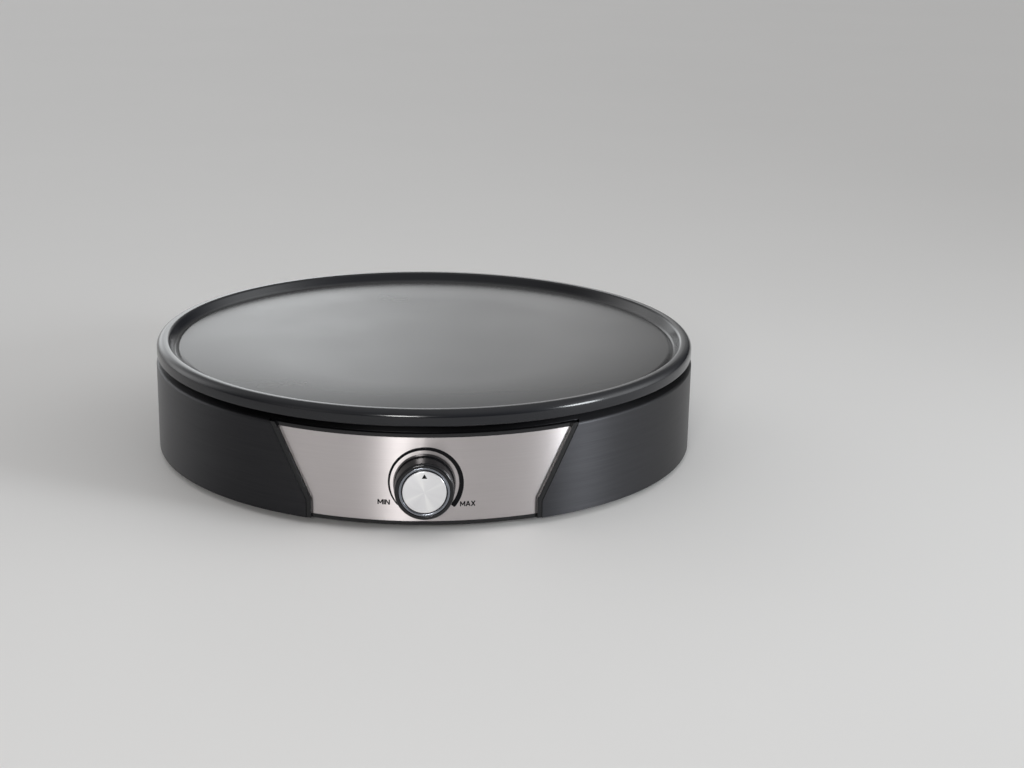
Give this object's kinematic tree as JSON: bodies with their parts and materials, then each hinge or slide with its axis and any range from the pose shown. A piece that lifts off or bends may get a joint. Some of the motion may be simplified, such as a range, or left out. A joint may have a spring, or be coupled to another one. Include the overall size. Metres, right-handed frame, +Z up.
{
  "type": "electric crepe maker",
  "caption": "Round countertop crepe maker: rimmed non-stick hotplate on a low drum base with a curved brushed steel control panel and a turning thermostat knob.",
  "frame": {"origin": "on the counter, under the centre of the round plate", "axes": "+Z up, the control panel and knob face -Y, +X to the right seen from the front"},
  "size_m": [0.401, 0.4186, 0.0839],
  "materials": {
    "nonstick": "satin non-stick coating on cast aluminium",
    "drum_paint": "fine textured charcoal paint",
    "cover_paint": "plain matte black paint",
    "black_moulding": "gloss black moulding",
    "brushed_panel": "brushed along the panel",
    "knob_plastic": "satin black",
    "spun_disc": "spun",
    "bright_ring": "polished",
    "zinc": "zinc plated",
    "element_sheath": "heat tinted sheath",
    "reflector": "bright rolled",
    "mineral_wool": "fibrous",
    "ceramic": "glazed ceramic",
    "thermostat_plastic": "moulded",
    "copper": "drawn copper",
    "brown_lead": "sleeved lead",
    "blue_lead": "sleeved lead",
    "green_lead": "sleeved lead",
    "foot_rubber": "matte rubber"
  },
  "bodies": {
    "base": {"base_shell": "drum_paint", "block_screws": "zinc", "bottom_cover": "cover_paint", "bulb_clips": "zinc", "capillary_tube": "copper", "control_frame": "black_moulding", "cord_inlet": "black_moulding", "cover_screws": "zinc", "earth_lead": "green_lead", "earth_screw": "zinc", "earth_tag": "zinc", "element_terminals": "zinc", "foot_front_left": "foot_rubber", "foot_front_right": "foot_rubber", "foot_rear_left": "foot_rubber", "foot_rear_right": "foot_rubber", "frame_screws": "zinc", "front_panel": "brushed_panel", "fuse_clip": "zinc", "heat_shield": "reflector", "heating_element": "element_sheath", "hotplate": "nonstick", "insulation_pad": "mineral_wool", "live_lead": "brown_lead", "neutral_lead": "blue_lead", "plate_screws": "zinc", "plate_spacers": "ceramic", "sensor_bulb": "copper", "shield_screws": "zinc", "switched_lead": "brown_lead", "terminal_block": "ceramic", "terminal_screws": "zinc", "thermal_fuse": "ceramic", "thermostat_body": "thermostat_plastic", "thermostat_screws": "zinc"},
    "knob": {"knob_body": "knob_plastic", "knob_cap": "spun_disc", "knob_ring": "bright_ring", "thermostat_spindle": "zinc", "knob_spring": "zinc"}
  },
  "joints": [
    {"name": "knob_turn", "type": "hinge", "parent": "base", "child": "knob", "pos_m": [0, -0.2, 0.03385], "axis": [0, 1, 0], "range_deg": [-131, 131]}
  ]
}
